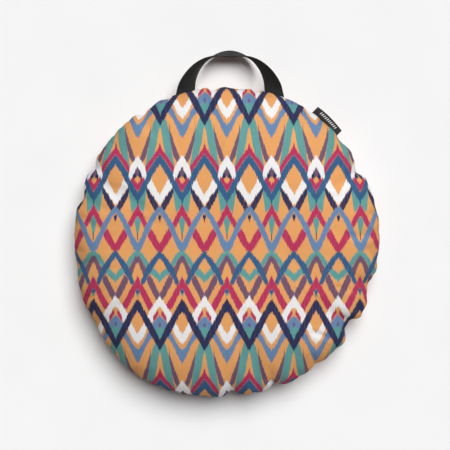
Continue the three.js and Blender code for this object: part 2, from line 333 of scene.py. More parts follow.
def crease_depth(points):
    """The few creases on the crown's face, with a soft roll beside each."""
    depth = np.zeros(len(points))
    for x0, y0, x1, y1, deep, half_width in CREASES:
        start = np.array([x0, y0]) * MM
        run = np.array([x1 - x0, y1 - y0]) * MM
        along = np.clip((points[:, :2] - start) @ run / (run @ run), 0, 1)
        aside = points[:, :2] - start - along[:, None] * run
        distance = np.hypot(aside[:, 0], aside[:, 1]) / (half_width * MM)
        roll = CREASE_ROLL * np.exp(-((distance - CREASE_ROLL_AT) ** 2))
        depth += deep * MM * (np.exp(-(distance ** 2)) - roll)
    return depth


def shape_cover(skin, draft):
    """Puckers and the filling's lumps, pushed along the normals."""
    points = positions(draft.data)
    outward = normals(draft.data)
    distance = skin.from_seam
    push = -pucker_depth(points, distance)
    inner = 1 - np.exp(-distance / LUMPS_FROM_SEAM)
    upper = points[:, 2] > SEAM_Z
    lumps = sum(high * unevenness(points[:, 0], points[:, 1], length, seed) for high, length, seed in LUMPS)
    lift = np.where(upper, 1.0, LUMPS_BELOW * np.clip(points[:, 2] / 0.02, 0, 1))
    push += lumps * MM * inner * lift
    shaped = points + outward * push[:, None]
    shaped[:, 2] = np.where(points[:, 2] < 1e-5, 0, np.maximum(shaped[:, 2], 0))
    set_positions(draft.data, shaped)


def sharpen(skin, draft):
    """The creases, and sharper bottoms for the puckers, once the cloth has settled."""
    points = positions(draft.data)
    upper = points[:, 2] > SEAM_Z
    push = np.where(upper, crease_depth(points), 0) + SHARPENED * pucker_depth(points, skin.from_seam)
    held = skin.from_seam < ON_SEAM
    shaped = points - normals(draft.data) * np.where(held, 0, push)[:, None]
    shaped[:, 2] = np.maximum(shaped[:, 2], 0)
    set_positions(draft.data, shaped)


# ------ cloth simulation

CLOTH = {
    "quality": 5, "mass": 0.15, "tension_stiffness": 12, "compression_stiffness": 6, "shear_stiffness": 4,
    "bending_stiffness": 0.6, "tension_damping": 8, "compression_damping": 8, "shear_damping": 6,
    "air_damping": 2, "shrink_min": -0.022, "use_pressure": True, "uniform_pressure_force": 3,
    "vertex_group_mass": "held", "pin_stiffness": 1,
}
SIM_FRAMES = 22
SIM_CAP = 7 * MM
LEVELLED = 0.85  # how much of each ring's mean rise is taken back, so that the crown keeps its height
SETTLED = 0.5  # how much of the movement is kept in the middle of the face
SETTLED_FROM = 0.07  # how far in from the seam that starts, in metres


def ring_means(skin, values):
    """Each point's ring mean, for one value per point."""
    means = np.zeros_like(values)
    for start, count in skin.rings:
        means[start:start + count] = values[start:start + count].mean()
    return means


def held_weights(skin, points):
    """1 at the seam and on the flat base, 0 where the cloth is free."""
    seam = skin.from_seam < ON_SEAM
    base = (points[:, 2] < 1 * MM) & (np.hypot(points[:, 0], points[:, 1]) < REST_R)
    return (seam | base).astype(float)


def simulate(skin, draft):
    """Blows the cover up a little, its seam and base held, so that the cloth swells between its puckers."""
    before = positions(draft.data)
    group = draft.vertex_groups.new(name="held")
    for index, weight in enumerate(held_weights(skin, before)):
        if weight > 0:
            group.add([index], float(weight), "REPLACE")
    cloth = draft.modifiers.new("Cloth", "CLOTH")
    for name, value in CLOTH.items():
        setattr(cloth.settings, name, value)
    cloth.settings.effector_weights.gravity = 0
    cloth.collision_settings.use_collision = False
    cloth.collision_settings.use_self_collision = False
    cloth.point_cache.frame_start = 1
    cloth.point_cache.frame_end = SIM_FRAMES
    scene = bpy.context.scene
    for number in range(1, SIM_FRAMES + 1):
        scene.frame_set(number)
    evaluated = draft.evaluated_get(bpy.context.evaluated_depsgraph_get())
    after = positions(evaluated.data)
    draft.modifiers.clear()
    scene.frame_set(1)
    move = after - before
    move[:, 2] -= LEVELLED * ring_means(skin, move[:, 2])
    move *= (SETTLED + (1 - SETTLED) * np.exp(-(skin.from_seam / SETTLED_FROM) ** 2))[:, None]
    length = np.linalg.norm(move, axis=1, keepdims=True)
    limit = SIM_CAP * np.tanh(length / SIM_CAP) / np.maximum(length, 1e-9)
    return before + move * limit


# ------ cloth coordinates

CROWN_STRETCH = 0.55  # per metre above the seam: the filling stretches the crown's cloth
EDGE_WRAP = 11 * MM  # how much more cloth lies over the rounded edge than its outline shows
EDGE_REACH = 40 * MM  # how far in from the seam that extra cloth is spread
FOLLOWED = 0.7  # how far the print keeps its place where puckers draw the cloth in
UNDERSIDE_SHIFT = (21, 118, 0)  # of the bottom panels' print, in millimetres


def cloth_coordinates(skin, plain, shaped):
    """Where each point lies on the printed cloth, from the panel's middle, and its way from the seam."""
    placed = plain + (shaped - plain) * FOLLOWED
    radius = np.hypot(placed[:, 0], placed[:, 1])
    height = np.clip(placed[:, 2] - SEAM_Z, 0, None)
    flat = placed[:, :2] / (1 - CROWN_STRETCH * height)[:, None]
    edge = np.clip(1 - skin.from_seam / EDGE_REACH, 0, None)
    wrap = 1 + EDGE_WRAP * edge ** 2 / np.maximum(radius, NEAR_MIDDLE)
    flat = flat * wrap[:, None]
    return np.column_stack([flat, skin.from_seam])


def underside(coordinates):
    """The bottom panel is cut from another part of the cloth, seen the other way round."""
    return coordinates * np.array([-1, 1, 1]) + np.array(UNDERSIDE_SHIFT) * MM


def store(mesh, name, values):
    attribute = mesh.attributes.get(name) or mesh.attributes.new(name, "FLOAT_VECTOR", "POINT")
    attribute.data.foreach_set("vector", np.asarray(values, np.float32).ravel())


# ------ mesh helpers

def apply_modifiers(piece):
    """Turns a piece's modifiers into its mesh."""
    graph = bpy.context.evaluated_depsgraph_get()
    changed = piece.evaluated_get(graph)
    mesh = bpy.data.meshes.new_from_object(changed, preserve_all_data_layers=True, depsgraph=graph)
    piece.modifiers.clear()
    piece.data = mesh


def subdivide(piece):
    modifier = piece.modifiers.new("Fine", "SUBSURF")
    modifier.levels = 1
    modifier.render_levels = 1
    apply_modifiers(piece)


def thicken(piece, thickness):
    modifier = piece.modifiers.new("Thickness", "SOLIDIFY")
    modifier.thickness = thickness
    modifier.offset = -1
    modifier.use_even_offset = False
    apply_modifiers(piece)


def smooth(piece):
    piece.data.polygons.foreach_set("use_smooth", np.ones(len(piece.data.polygons), bool))
    piece.data.update()


def only_faces(name, points, faces):
    """A mesh of some of the skin's faces, and the numbers of the points that they use."""
    used = np.unique(np.concatenate([np.array(face) for face in faces]))
    renumber = {int(old): new for new, old in enumerate(used)}
    made = mesh_object(name, points[used], [[renumber[i] for i in face] for face in faces])
    return made, used


def panel(name, points, coordinates, faces):
    """One side of the cover as an open sheet, with its cloth coordinates."""
    sheet, used = only_faces(name, points, faces)
    store(sheet.data, "cloth", coordinates[used])
    return sheet


# ------ materials

def linear(red, green, blue):
    """An on-screen colour, 0 to 255, as the linear colour that a shader takes."""
    def channel(value):
        value /= 255
        return value / 12.92 if value <= 0.04045 else ((value + 0.055) / 1.055) ** 2.4
    return (channel(red), channel(green), channel(blue), 1.0)


# The Mix node has a pair of inputs and an output for each type of value. These are the colours'.
MIX_LOW, MIX_HIGH, MIX_RESULT = 6, 7, 2


class Nodes:
    """A material's nodes. Inputs are plain values or the outputs of other nodes."""

    def __init__(self, name):
        self.material = bpy.data.materials.new(name)
        self.material.use_nodes = True
        self.tree = self.material.node_tree
        self.shader = self.tree.nodes["Principled BSDF"]

    def wire(self, socket, value):
        if isinstance(value, bpy.types.NodeSocket):
            self.tree.links.new(value, socket)
        else:
            socket.default_value = value

    def add(self, kind, inputs=None, **settings):
        node = self.tree.nodes.new(kind)
        for key, value in settings.items():
            setattr(node, key, value)
        for key, value in (inputs or {}).items():
            self.wire(node.inputs[key], value)
        return node

    def math(self, operation, *values, clamp=False):
        node = self.add("ShaderNodeMath", operation=operation, use_clamp=clamp)
        for socket, value in zip(node.inputs, values):
            self.wire(socket, value)
        return node.outputs[0]

    def times(self, value, factor):
        return self.math("MULTIPLY", value, factor)

    def scaled(self, value, factor, offset, clamp=False):
        return self.math("MULTIPLY_ADD", value, factor, offset, clamp=clamp)

    def mix(self, share, low, high):
        node = self.add("ShaderNodeMix", data_type="RGBA")
        self.wire(node.inputs["Factor"], share)
        self.wire(node.inputs[MIX_LOW], low)
        self.wire(node.inputs[MIX_HIGH], high)
        return node.outputs[MIX_RESULT]

    def noise(self, vector, fineness, detail=2.0, roughness=0.5):
        """Noise with so many cells to the metre along x, y and z."""
        stretched = self.add("ShaderNodeMapping", {"Vector": vector, "Scale": fineness}).outputs[0]
        inputs = {"Vector": stretched, "Scale": 1.0, "Detail": detail, "Roughness": roughness}
        return self.add("ShaderNodeTexNoise", inputs).outputs["Fac"]

    def attribute(self, name):
        return self.add("ShaderNodeAttribute", attribute_name=name).outputs["Vector"]

    def place(self):
        """The piece's own coordinates."""
        return self.add("ShaderNodeTexCoord").outputs["Object"]

    def split(self, vector):
        return self.add("ShaderNodeSeparateXYZ", {"Vector": vector}).outputs

    def bump(self, height, strength, distance, below=None):
        inputs = {"Height": height, "Strength": strength, "Distance": distance}
        if below is not None:
            inputs["Normal"] = below
        return self.add("ShaderNodeBump", inputs).outputs[0]

    def surface(self, **inputs):
        for key, value in inputs.items():
            self.wire(self.shader.inputs[key.replace("_", " ")], value)
        return self.material


# The print's colours.
ORANGE = linear(226, 160, 99)
TEAL = linear(93, 154, 151)
SKY = linear(101, 133, 171)
BLUE = linear(55, 94, 134)
NAVY = linear(47, 50, 85)
CRIMSON = linear(181, 52, 92)
PLUM = linear(112, 83, 107)
WHITE = linear(233, 232, 232)

# The print repeats across and down the cloth, and is mirrored about upright axes of two kinds, A and B, that
# take turns half a repeat apart. These are in millimetres of cloth.
REPEAT_ACROSS = 75.3
REPEAT_DOWN = 380
HALF = REPEAT_ACROSS / 2
AXIS_A_X = -34.5
ROW_AT_CENTRE = 199.2

# Each shape of the print, in the order that they are laid down: its colour, the kind of axis that it is
# mirrored about, and stations across it. A station is the distance out from the axis, then how far down the
# repeat the shape starts and ends there. All are millimetres.
SHAPES = [
    (TEAL, "A", [(0, -16, 2), (2.5, -16, 11), (5.3, -15, 31), (8.5, -14, 44), (12.3, -2, 56), (15.2, 9, 62),
        (18.3, 29, 68), (21.3, 49, 71), (24.8, 70, 73)]),
    (PLUM, "A", [(15.5, -4, 12), (17, 9, 23), (19, 14, 34), (21, 20, 43), (24, 30, 54), (28, 40, 62),
        (31, 49, 62), (33.8, 56, 57)]),
    (TEAL, "B", [(0, 118, 137), (10.5, 105, 148), (15.7, 103, 110)]),
    (NAVY, "B", [(0, 126, 137), (1, 128, 130)]),
    (CRIMSON, "A", [(0, 35.5, 49), (10.5, 50, 62), (18.3, 60, 74), (24, 70, 84)]),
    (CRIMSON, "A", [(0, 29, 42), (2.5, 39, 40)]),
    (BLUE, "A", [(0, 48.5, 66), (9.4, 61, 80), (22, 80, 105.5), (31.6, 100, 121.5), (HALF, 113, 129)]),
    (WHITE, "A", [(0, 117.5, 134.5), (4, 111, 130), (10, 100.5, 121), (13.9, 91.5, 115), (21, 101, 106)]),
    (NAVY, "A", [(2, 136, 139), (5, 130, 142.5), (8, 124.5, 145), (10.5, 120, 140), (16, 112.5, 130.5),
        (20.5, 106.5, 120.5), (23, 104, 112)]),
    (WHITE, "B", [(0, 51, 79), (6, 60, 86), (12.5, 70, 92), (15, 83, 86)]),
    (NAVY, "B", [(0, 70, 89), (8, 85, 92)]),
    (PLUM, "B", [(0, 71, 86), (3, 77, 85)]),
    (CRIMSON, "B", [(0, 93, 112), (11.5, 88, 92)]),
    (ORANGE, "B", [(0, 86, 99), (4.5, 91, 94)]),
    (CRIMSON, "B", [(0, 132, 152), (4, 141, 160), (8.8, 150, 168.5), (13.5, 159.5, 175), (17.5, 167, 169)]),
    (TEAL, "B", [(0, 152.5, 190), (4.8, 160, 166)]),
    (NAVY, "B", [(0, 180, 196), (0.6, 184, 192)]),
    (CRIMSON, "A", [(0, 200, 215.5), (6, 189, 210.5), (12, 177, 201), (14.5, 174.5, 197), (20, 182, 188)]),
    (SKY, "A", [(0, 136, 148), (5, 141, 154), (12.2, 150, 167), (18.3, 160, 180), (23.9, 170, 193),
        (27.6, 180, 202), (32.2, 190, 211), (HALF, 198, 216)]),
    (NAVY, "A", [(0, 151, 164), (2.7, 152, 155)]),
    (TEAL, "B", [(0, 211, 220), (8.6, 215.5, 230), (18.6, 230, 246)]),
    (PLUM, "B", [(0, 219.5, 231), (3, 221, 235), (5.2, 224.5, 241), (8.6, 230, 251), (11, 235, 257),
        (15, 241, 250)]),
    (TEAL, "A", [(0, 251, 265), (10.5, 240, 254.5), (16, 247, 250)]),
    (PLUM, "A", [(0, 283, 288), (2, 280, 291), (5.5, 273, 295), (11.5, 260, 283.5), (16, 251.5, 275.5),
        (21.5, 258, 264)]),
    (BLUE, "A", [(0, 211.5, 224), (5, 215.5, 230), (16.5, 230, 250), (22.5, 240, 260), (26.5, 250, 268.5),
        (32, 263, 269)]),
    (CRIMSON, "B", [(0, 254, 276), (3, 260, 278.5), (5, 265, 284), (9, 270.5, 293), (14, 280, 303),
        (19.7, 290.5, 313), (27, 303, 305)]),
    (BLUE, "B", [(0, 276, 288), (3.6, 278, 281)]),
    (TEAL, "B", [(0, 284, 290), (1.6, 285, 287)]),
    (WHITE, "A", [(0, 287, 306), (4, 293, 309), (13.5, 307, 334), (21, 320, 326)]),
    (CRIMSON, "A", [(2.5, 313, 319), (6, 314.5, 325), (8.5, 318, 329), (11.3, 323, 330)]),
    (SKY, "A", [(0, 320.5, 342), (5, 325, 345), (14, 336, 344)]),
    (TEAL, "A", [(0, 341, 366), (9.5, 343, 350)]),
    (PLUM, "A", [(0, 333, 341), (1.8, 335, 338)]),
    (SKY, "B", [(0, -1, 22.5), (5, -5.5, 14), (10.5, -15, 2), (15.5, -26, -9), (20, -32, -16),
        (24, -25, -21)]),
    (WHITE, "B", [(0, -28.5, -11), (5, -35.5, -16), (8, -42, -20), (13, -49, -30), (16, -46, -37)]),
    (NAVY, "B", [(0, 292.5, 313.5), (6.2, 301, 322), (9.7, 308, 330), (19.7, 325.5, 350.5), (28, 341, 363.5),
        (HALF, 361.5, 381)]),
]

PER_METRE = 1000  # millimetres
THREADS = (560, 30, 1)  # how fine the dyed threads' unevenness is, per metre across and along them
EDGE_BLEED = 3.2  # how far down the cloth one colour fades into the next, in millimetres
END_SLOPE = 6.0  # how steeply a shape's upright end cuts off
FEATHER = 8.5  # how far the dyed threads run past each other, in millimetres
TOOTH_WIDTH = 1.25  # half the pitch of the small teeth along every edge, in millimetres
TOOTH_SLOPE = 1.6
PAINTED_SEAM_SHADE = 0.34  # painted shade: how much darker the print's colour is made right at the seam, for the shade of the rolled edge and between the fine gathers
# how far in from the seam that painted shade fades
PAINTED_SEAM_SHADE_REACH = 36 * MM


def shape_piece(nodes, out, down, first, last, closed_start, closed_end):
    """How far inside a shape a point is, between two of its stations, in millimetres of cloth."""
    (out0, top0, low0), (out1, top1, low1) = first, last
    run = out1 - out0
    middle0, half0 = (top0 + low0) / 2, (low0 - top0) / 2
    middle_rise = ((top1 + low1) / 2 - middle0) / run
    half_rise = ((low1 - top1) / 2 - half0) / run
    middle = nodes.scaled(out, middle_rise, middle0 - middle_rise * out0)
    half = nodes.scaled(out, half_rise, half0 - half_rise * out0)
    away = nodes.math("ABSOLUTE", nodes.math("SUBTRACT", down, middle))
    inside = nodes.math("SUBTRACT", half, away)
    if closed_start:
        begun = nodes.scaled(out, END_SLOPE, 0.5 - END_SLOPE * out0)
        inside = nodes.math("MINIMUM", inside, begun)
    if closed_end:
        left = nodes.scaled(out, -END_SLOPE, 0.5 + END_SLOPE * out1)
        inside = nodes.math("MINIMUM", inside, left)
    return inside


def shape_share(nodes, out, down, stations):
    inside = None
    for k, (first, last) in enumerate(zip(stations, stations[1:])):
        closed_start = k > 0 or first[0] > 0
        closed_end = last[0] < HALF and (k < len(stations) - 2 or last[2] - last[1] > 2)
        piece = shape_piece(nodes, out, down, first, last, closed_start, closed_end)
        inside = piece if inside is None else nodes.math("MAXIMUM", inside, piece)
    return nodes.scaled(inside, 1 / EDGE_BLEED, 0.5, clamp=True)


def print_colour(nodes, cloth):
    """The printed pattern's colour at a place on the cloth."""
    split = nodes.split(cloth)
    threads = nodes.noise(cloth, THREADS, 1.0)
    x = nodes.scaled(split[0], PER_METRE, -AXIS_A_X)
    feather = nodes.scaled(threads, FEATHER, -FEATHER / 2)
    teeth = nodes.times(nodes.math("PINGPONG", x, TOOTH_WIDTH), TOOTH_SLOPE)
    y = nodes.scaled(split[1], -PER_METRE, ROW_AT_CENTRE - TOOTH_WIDTH * TOOTH_SLOPE / 2)
    y = nodes.math("ADD", nodes.math("ADD", y, feather), teeth)
    from_a = nodes.math("PINGPONG", x, HALF)
    from_b = nodes.math("SUBTRACT", HALF, from_a)
    down = nodes.math("WRAP", y, REPEAT_DOWN, 0)
    down_early = nodes.math("WRAP", y, REPEAT_DOWN / 2, -REPEAT_DOWN / 2)
    colour = ORANGE
    for tint, axis, stations in SHAPES:
        out = from_a if axis == "A" else from_b
        early = min(top for _, top, _ in stations) <= 2
        share = shape_share(nodes, out, down_early if early else down, stations)
        colour = nodes.mix(share, colour, tint)
    return colour


def weave_height(nodes, cloth, pitch):
    """A plain weave: raised threads, over and under."""
    split = nodes.split(cloth)
    turn = 2 * math.pi / pitch
    warp = nodes.math("SINE", nodes.times(split[0], turn))
    weft = nodes.math("SINE", nodes.times(split[1], turn))
    return nodes.scaled(nodes.times(warp, weft), 0.5, 0.5)


def print_material():
    nodes = Nodes("printed_canvas")
    cloth = nodes.attribute("cloth")
    colour = print_colour(nodes, cloth)
    slub = nodes.noise(cloth, (900, 60, 1))
    from_seam = nodes.split(cloth)[2]
    # painted shade: the print's colour is darkened towards the seam, fading inwards, for the shade of the
    # rolled edge and between the fine gathers
    painted_seam_shade_falloff = nodes.math("EXPONENT", nodes.times(from_seam, -1 / PAINTED_SEAM_SHADE_REACH))
    shade = nodes.scaled(slub, 0.16, 0.92)
    shade = nodes.times(shade, nodes.scaled(painted_seam_shade_falloff, -PAINTED_SEAM_SHADE, 1))
    shaded_print = nodes.add("ShaderNodeVectorMath", {0: colour}, operation="SCALE")
    nodes.wire(shaded_print.inputs["Scale"], shade)
    weave = nodes.bump(weave_height(nodes, cloth, 1.1 * MM), 0.25, 0.12 * MM)
    soft = nodes.bump(nodes.noise(cloth, (60, 60, 1), 3.0), 0.25, 1.2 * MM, weave)
    return nodes.surface(Base_Color=shaded_print.outputs[0], Roughness=0.9, Normal=soft, Specular_IOR_Level=0.15)


RIB_PITCH = 1.5 * MM
CORD_PITCH = 1.9 * MM


def webbing_material():
    nodes = Nodes("black_webbing")
    tape = nodes.attribute("tape")
    parts = nodes.split(tape)
    turn = 2 * math.pi
    slant = nodes.math("ABSOLUTE", parts[0])
    herring = nodes.math("ADD", parts[1], nodes.times(slant, 0.7))
    rib = nodes.math("SINE", nodes.times(herring, turn / RIB_PITCH))
    cord = nodes.math("SINE", nodes.times(parts[0], turn / CORD_PITCH))
    height = nodes.scaled(rib, 0.6, nodes.times(cord, 0.4))
    fuzz = nodes.noise(tape, (1400, 500, 1))
    colour = nodes.mix(nodes.scaled(height, 0.25, fuzz), linear(20, 20, 20), linear(44, 44, 44))
    normal = nodes.bump(height, 0.6, 0.25 * MM)
    return nodes.surface(Base_Color=colour, Roughness=0.8, Normal=normal, Sheen_Weight=0.06,
                         Sheen_Roughness=0.4, Specular_IOR_Level=0.2)


DASH_PITCH, DASH_HALF = 1.9 * MM, 0.85 * MM
DASHES_OUT, DASHES_HALF_HIGH, DASHES_HALF_LONG = 7.6 * MM, 2.1 * MM, 18.5 * MM


def label_material():
    """Black woven tape with a plain row of slanted pale dashes."""
    nodes = Nodes("woven_label")
    tape = nodes.attribute("tape")
    parts = nodes.split(tape)
    slanted = nodes.scaled(parts[1], 0.3, parts[0])
    dash = nodes.math("PINGPONG", slanted, DASH_PITCH)
    on_dash = nodes.math("LESS_THAN", dash, DASH_HALF)
    from_row = nodes.math("ABSOLUTE", nodes.math("SUBTRACT", parts[1], DASHES_OUT))
    row = nodes.math("LESS_THAN", from_row, DASHES_HALF_HIGH)
    inset = nodes.math("LESS_THAN", nodes.math("ABSOLUTE", parts[0]), DASHES_HALF_LONG)
    mark = nodes.times(nodes.times(on_dash, row), inset)
    threads = nodes.noise(tape, (2600, 1800, 1), 1.0)
    ground = nodes.mix(threads, linear(12, 12, 14), linear(28, 28, 30))
    colour = nodes.mix(nodes.times(mark, 0.85), ground, linear(226, 224, 220))
    normal = nodes.bump(weave_height(nodes, tape, 0.5 * MM), 0.4, 0.08 * MM)
    return nodes.surface(Base_Color=colour, Roughness=0.6, Normal=normal, Sheen_Weight=0.04,
                         Specular_IOR_Level=0.25)


def cloth_material(name, colour, dark, pitch):
    """Plain woven cloth whose coordinates are the piece's own."""
    nodes = Nodes(name)
    place = nodes.place()
    threads = nodes.noise(place, (700, 700, 700))
    shade = nodes.mix(threads, dark, colour)
    normal = nodes.bump(weave_height(nodes, place, pitch), 0.4, 0.15 * MM)
    return nodes.surface(Base_Color=shade, Roughness=0.85, Normal=normal, Sheen_Weight=0.15)


def fibre_material():
    nodes = Nodes("polyester_fibre")
    strands = nodes.noise(nodes.place(), (90, 420, 260), 5.0, 0.7)
    colour = nodes.mix(strands, linear(214, 214, 212), linear(250, 250, 248))
    return nodes.surface(Base_Color=colour, Roughness=1.0, Normal=nodes.bump(strands, 0.8, 2 * MM),
                         Sheen_Weight=0.3)


def metal_material():
    nodes = Nodes("nickel_plate")
    place = nodes.place()
    wear = nodes.noise(place, (260, 260, 260), 3.0)
    brush = nodes.noise(place, (300, 4200, 4200), 1.0)
    colour = nodes.mix(wear, linear(168, 168, 170), linear(204, 204, 204))
    roughness = nodes.scaled(wear, 0.25, 0.2)
    return nodes.surface(Base_Color=colour, Metallic=1.0, Roughness=roughness,
                         Normal=nodes.bump(brush, 0.15, 0.05 * MM))


def plastic_material():
    nodes = Nodes("nylon_coil")
    grain = nodes.noise(nodes.place(), (900, 900, 900))
    colour = nodes.mix(grain, linear(38, 42, 52), linear(56, 60, 72))
    return nodes.surface(Base_Color=colour, Roughness=0.42, Normal=nodes.bump(grain, 0.15, 0.05 * MM))


def give(piece, material):
    piece.data.materials.clear()
    piece.data.materials.append(material)


# ------ cover

PRINT_MATERIAL = print_material()


def make_skin():
    skin = Skin()
    skin.finish()
    draft = mesh_object("draft_cover", skin.points, skin.faces)
    plain = positions(draft.data)
    shape_cover(skin, draft)
    set_positions(draft.data, simulate(skin, draft))
    sharpen(skin, draft)
    shaped = positions(draft.data)
    outward = normals(draft.data)
    bpy.data.objects.remove(draft)
    return skin, plain, shaped, outward


def make_top(skin, shaped, coordinates):
    cover = panel("cover_top", shaped, coordinates, skin.side(True))
    subdivide(cover)
    thicken(cover, FABRIC_T)
    smooth(cover)
    give(cover, PRINT_MATERIAL)
    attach(cover, "cover")
    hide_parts("top_panel")


ZIP_CHANNEL_HALF = 0.156
ZIP_CHANNEL_W = 0.016
HALF_GAP = 0.15 * MM  # from the line where the two halves meet to each of them
NEAR_FLOOR = 0.01  # faces below this height belong to the underside


def cut(shape, point, direction):
    """Cuts a line of edges where a plane crosses the sheet."""
    everything = shape.verts[:] + shape.edges[:] + shape.faces[:]
    bmesh.ops.bisect_plane(shape, geom=everything, dist=1e-6, plane_co=point, plane_no=direction)


def make_bottom(skin, shaped, coordinates):
    """The two halves of the underside, with the zip's opening between them."""
    halves = (("cover_rear", "bottom_panel_rear", 1), ("cover_front", "bottom_panel_front", -1))
    for name, node, side in halves:
        half = panel(name, shaped, coordinates, skin.side(False))
        subdivide(half)
        shape = bmesh.new()
        shape.from_mesh(half.data)
        meeting = ZIP_Y + side * HALF_GAP
        hem = ZIP_Y + side * ZIP_CHANNEL_W / 2
        cut(shape, (0, meeting, 0), (0, 1, 0))
        cut(shape, (0, hem, 0), (0, 1, 0))
        for end in (-ZIP_CHANNEL_HALF, ZIP_CHANNEL_HALF):
            cut(shape, (end, 0, 0), (1, 0, 0))
        unwanted = []
        for face in shape.faces:
            middle = face.calc_center_median()
            beyond = (middle.y - meeting) * side < 0
            in_opening = (middle.y - hem) * side < 0 and abs(middle.x) < ZIP_CHANNEL_HALF
            if beyond or (in_opening and middle.z < NEAR_FLOOR):
                unwanted.append(face)
        bmesh.ops.delete(shape, geom=unwanted, context="FACES")
        add_hem(shape, hem)
        shape.to_mesh(half.data)
        shape.free()
        thicken(half, FABRIC_T)
        smooth(half)
        give(half, PRINT_MATERIAL)
        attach(half, "cover")
        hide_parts(node)


def add_hem(shape, hem):
    """Turns the cloth's edge up along the zip's opening."""
    edges = []
    for edge in shape.edges:
        a, b = (vertex.co for vertex in edge.verts)
        along_zip = abs(a.y - hem) < 1e-5 and abs(b.y - hem) < 1e-5
        if edge.is_boundary and along_zip and max(abs(a.x), abs(b.x)) < ZIP_CHANNEL_HALF + 1e-4:
            edges.append(edge)
    made = bmesh.ops.extrude_edge_only(shape, edges=edges)["geom"]
    for item in made:
        if isinstance(item, bmesh.types.BMVert):
            item.co.z += TAPE_LOW.z - 0.4 * MM


# ------ what is inside

BAG_DEPTH, BAG_RIM_INSET, BAG_T = 3 * MM, 17 * MM, 0.8 * MM
FILLING_DEPTH, FILLING_RIM_INSET = 5.5 * MM, 20 * MM
RIM_INSET_REACH = 0.025


def inner_skin(name, skin, shaped, outward, depth, rim_inset, base_z, faces):
    """A skin inside the cover: depth says how far in, and rim_inset how much further in at the rim."""
    points = shaped - outward * depth
    near_rim = np.exp(-skin.from_seam / RIM_INSET_REACH)
    radius = np.hypot(points[:, 0], points[:, 1])
    points[:, :2] *= (1 - rim_inset * near_rim / np.maximum(radius, NEAR_MIDDLE))[:, None]
    points[:, 2] = np.maximum(points[:, 2], base_z)
    made, _ = only_faces(name, points, faces)
    smooth(made)
    return made


def make_inside(skin, shaped, outward):
    cotton = cloth_material("undyed_cotton", linear(232, 229, 220), linear(214, 210, 200), 0.8 * MM)
    base = SLIDER_TOP + 0.6 * MM
    for name, node, on_top in (("bag_top", "inner_bag_top", True), ("bag_bottom", "inner_bag_bottom", False)):
        half = inner_skin(name, skin, shaped, outward, BAG_DEPTH, BAG_RIM_INSET, base, skin.side(on_top))
        thicken(half, BAG_T)
        smooth(half)
        give(half, cotton)
        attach(half, "cover")
        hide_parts(node)
    filling = inner_skin("filling", skin, shaped, outward, FILLING_DEPTH, FILLING_RIM_INSET, base + 2 * MM,
                         skin.faces)
    give(filling, fibre_material())
    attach(filling, "cover")
    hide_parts("fibre_filling")


# ------ handle

TAIL_LOW, TAIL_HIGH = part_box("handle_tail_right")
STRAP_W = 30 * MM
STRAP_T = TAIL_HIGH.z - TAIL_LOW.z
LOOP_X = 8 * MM
LOOP_Y = 235 * MM
LOOP_HALF_W = 76.5 * MM
LOOP_REACH = 89 * MM
LOOP_START = math.asin((HANDLE_HINGE_Y - LOOP_Y) / LOOP_REACH)
STRAP_FLOOR_GAP = 1 * MM
STRAP_TURN = 120  # degrees that the webbing has turned over at the middle of the loop
STRAP_STEPS = 150
STRAP_CELLS = 14
TAIL_STEPS = 8
TAIL_TRIM_R = 247 * MM
TURN_SOFTNESS = 0.12
LATE_TURN = 0.24  # the share of the turn that is made close to the roots
LATE_TURN_POWER = 10
SMALL = 1e-4
ROUND_STEPS = 6  # in the half circle at each edge of a band's section


def strap_turn(distance):
    """How far the webbing has turned over, in radians, at 0 for the loop's middle to 1 for its root."""
    soft = TURN_SOFTNESS
    eased = (math.hypot(distance, soft) - soft) / (math.hypot(1, soft) - soft)
    late = LATE_TURN * distance ** LATE_TURN_POWER
    return math.radians(STRAP_TURN * (1 - (1 - LATE_TURN) * eased - late))


def strap_point(share):
    """The loop's centre line, from the left root at 0 to the right root at 1."""
    angle = LOOP_START + share * (math.pi - 2 * LOOP_START)
    middle_z = STRAP_FLOOR_GAP + STRAP_W / 2 * math.sin(strap_turn(0)) + STRAP_T / 2
    return Vector((
        LOOP_X - LOOP_HALF_W * math.cos(angle),
        LOOP_Y + LOOP_REACH * math.sin(angle),
        SEAM_Z - (SEAM_Z - middle_z) * math.sin(share * math.pi) ** 2,
    ))


def strap_stations():
    """(place, direction, across, outward) along the webbing, tails included."""
    up = Vector((0, 0, 1))
    loop = []
    for k in range(STRAP_STEPS + 1):
        share = k / STRAP_STEPS
        along = (strap_point(min(1, share + SMALL)) - strap_point(max(0, share - SMALL))).normalized()
        level = up.cross(along).normalized()
        turn = strap_turn(abs(2 * share - 1))
        outward = along.cross(level)
        across = level * math.cos(turn) + outward * math.sin(turn)
        loop.append((strap_point(share), along, across, along.cross(across)))
    return [loop[0]] * TAIL_STEPS + loop + [loop[-1]] * TAIL_STEPS


def spread_tails(points, stations, around):
    """Draws the tails' sections back into the seam, each point along the webbing to the same arc."""
    last = len(stations) - 1
    for index, into in [(k, -1) for k in range(TAIL_STEPS)] + [(last - k, 1) for k in range(TAIL_STEPS)]:
        share = 1 - (index if into < 0 else last - index) / TAIL_STEPS
        direction = np.array(stations[index][1][:2]) * into
        direction /= np.linalg.norm(direction)
        part = slice(index * around, (index + 1) * around)
        root = points[part, :2]
        half = root @ direction
        length = -half - np.sqrt(half ** 2 - (root ** 2).sum(1) + TAIL_TRIM_R ** 2)
        points[part, :2] = root + direction * (length * share)[:, None]
    return points


def band_section(width, thickness, cells):
    """A flat band's section as (across, outward) points all the way round, with rounded edges."""
    half_w, half_t = width / 2, thickness / 2
    flat = np.linspace(-(half_w - half_t), half_w - half_t, cells + 1)
    turns = [math.pi * k / ROUND_STEPS for k in range(1, ROUND_STEPS)]
    upper = [(w, half_t) for w in flat]
    right = [(flat[-1] + half_t * math.sin(t), half_t * math.cos(t)) for t in turns]
    lower = [(w, -half_t) for w in flat[::-1]]
    left = [(flat[0] - half_t * math.sin(t), -half_t * math.cos(t)) for t in turns]
    return upper + right + lower + left


